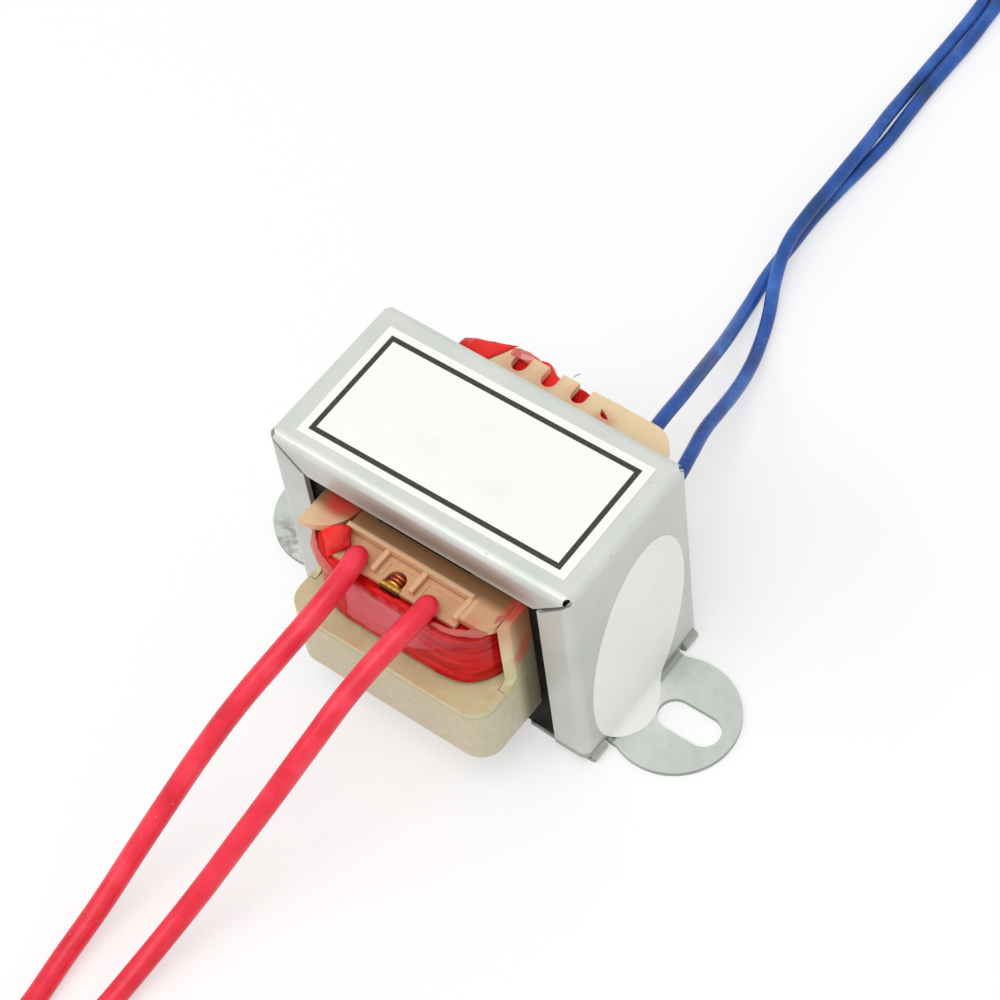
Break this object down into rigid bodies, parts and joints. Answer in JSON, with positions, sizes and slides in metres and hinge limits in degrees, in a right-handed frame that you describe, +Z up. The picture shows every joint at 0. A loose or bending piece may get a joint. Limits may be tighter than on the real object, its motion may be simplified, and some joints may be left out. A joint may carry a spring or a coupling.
{
  "type": "laminated chassis transformer",
  "caption": "Small mains transformer with a laminated core in a folded steel clamp with two slotted ears, a two-chamber bobbin, two red and two blue free leads.",
  "frame": {"origin": "midway between the two ear slots, on the underside of the ears", "axes": "+X from ear to ear, +Y from the red leads' side to the blue leads' side, +Z up from the underside of the ears"},
  "size_m": [0.0868, 0.232, 0.0349],
  "materials": {
    "zinc_sheet": "satin zinc plate",
    "core_steel": "dark silicon steel sheets",
    "cream_plastic": "translucent cream nylon",
    "red_tape": "glossy polyester film tape",
    "copper_wire": "enamelled copper",
    "red_pvc": "soft PVC insulation",
    "blue_pvc": "soft PVC insulation",
    "tinned_wire": "tinned copper strand and solder",
    "white_paper": "white sticker"
  },
  "bodies": {
    "root": {"clamp_frame": "zinc_sheet", "e_sheets_yoke_up": "core_steel", "i_sheets_bottom": "core_steel", "e_sheets_yoke_down": "core_steel", "i_sheets_top": "core_steel", "bobbin": "cream_plastic", "front_cover": "cream_plastic", "rear_cover": "cream_plastic", "upper_winding": "copper_wire", "upper_tape": "red_tape", "lower_winding": "copper_wire", "lower_tape": "red_tape", "winding_wire_ends": "copper_wire", "lead_joints": "tinned_wire", "red_lead_left": "red_pvc", "red_lead_right": "red_pvc", "blue_lead_upper": "blue_pvc", "blue_lead_lower": "blue_pvc", "red_left_bare_end": "tinned_wire", "red_right_bare_end": "tinned_wire", "blue_upper_bare_end": "tinned_wire", "blue_lower_bare_end": "tinned_wire", "top_label": "white_paper", "side_label": "white_paper"}
  },
  "joints": []
}
